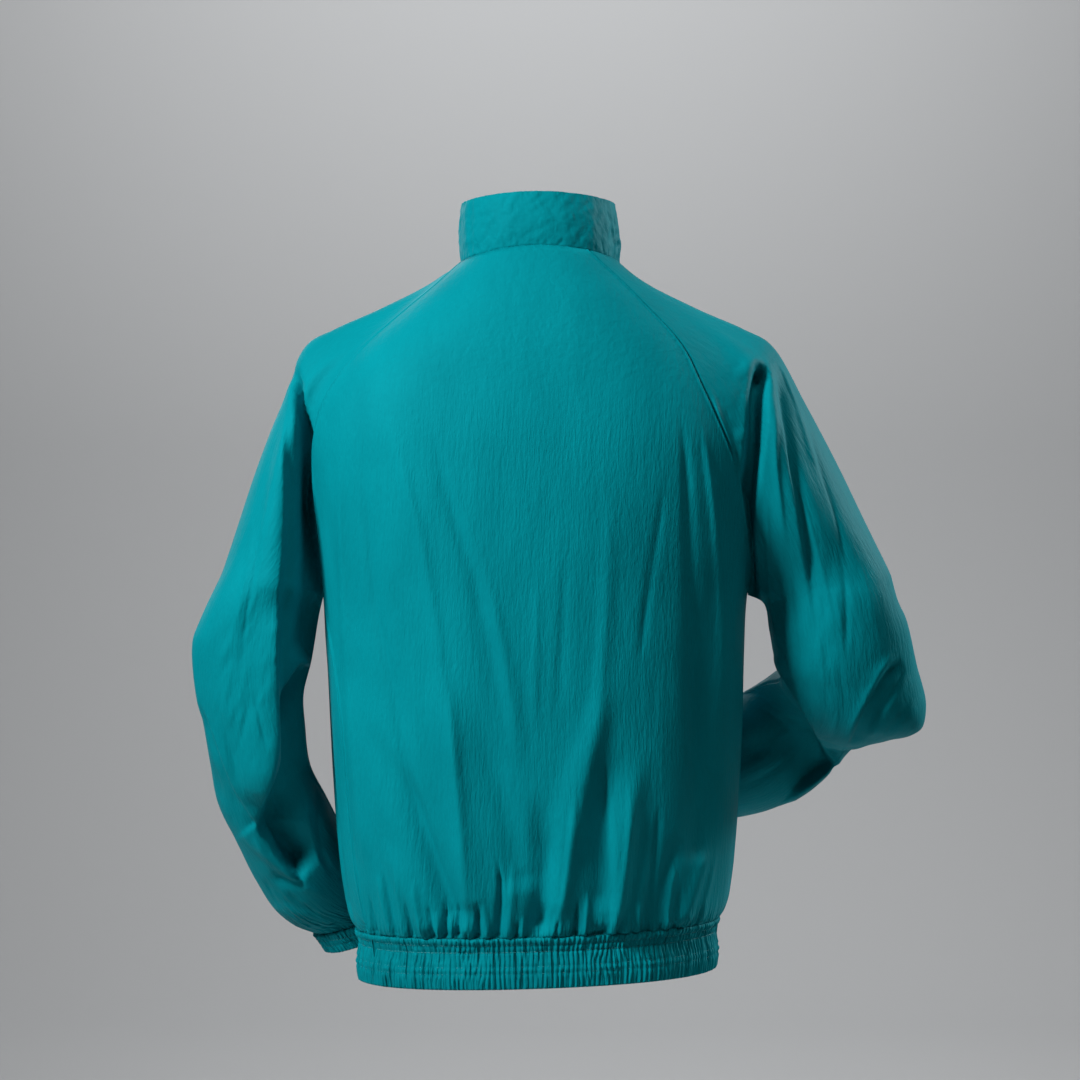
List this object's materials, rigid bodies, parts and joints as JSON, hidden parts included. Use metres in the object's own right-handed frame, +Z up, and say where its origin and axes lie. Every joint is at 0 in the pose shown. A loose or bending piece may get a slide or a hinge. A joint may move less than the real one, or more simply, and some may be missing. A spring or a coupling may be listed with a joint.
{
  "type": "raglan windbreaker jacket",
  "caption": "Hip-length raglan windbreaker with stand collar, closed front zip, ruched elastic hem band and cuffs, held in a worn pose.",
  "frame": {"origin": "middle of the neckline, where the wearer's neck stands and from which the jacket hangs on the shoulders", "axes": "+Z up, the front faces -Y, +X is the wearer's left"},
  "size_m": [0.7092, 0.3909, 0.753],
  "materials": {
    "nylon": "fine crinkled nylon, soft sheen",
    "elastic_band": "same nylon ruched over elastic, stitched in double rows",
    "zip_tape": "matt woven polyester tape",
    "zip_teeth": "moulded plastic teeth",
    "zip_metal": "satin metal"
  },
  "bodies": {
    "jacket": {"back": "nylon", "front_left": "nylon", "front_right": "nylon", "sleeve_left": "nylon", "sleeve_right": "nylon", "collar": "nylon", "hem_band_back": "elastic_band", "hem_band_left": "elastic_band", "hem_band_right": "elastic_band", "cuff_left": "elastic_band", "cuff_right": "elastic_band", "zip_tape_left": "zip_tape", "zip_tape_right": "zip_tape", "zip_chain": "zip_teeth", "zip_slider": "zip_metal"},
    "pull": {"zip_pull": "zip_metal"}
  },
  "joints": [
    {"name": "pull_swing", "type": "hinge", "parent": "jacket", "child": "pull", "pos_m": [0.00169, -0.07512, 0.01308], "axis": [-0.9995, 0.0069, 0.0307], "range_deg": [0, 150]}
  ]
}
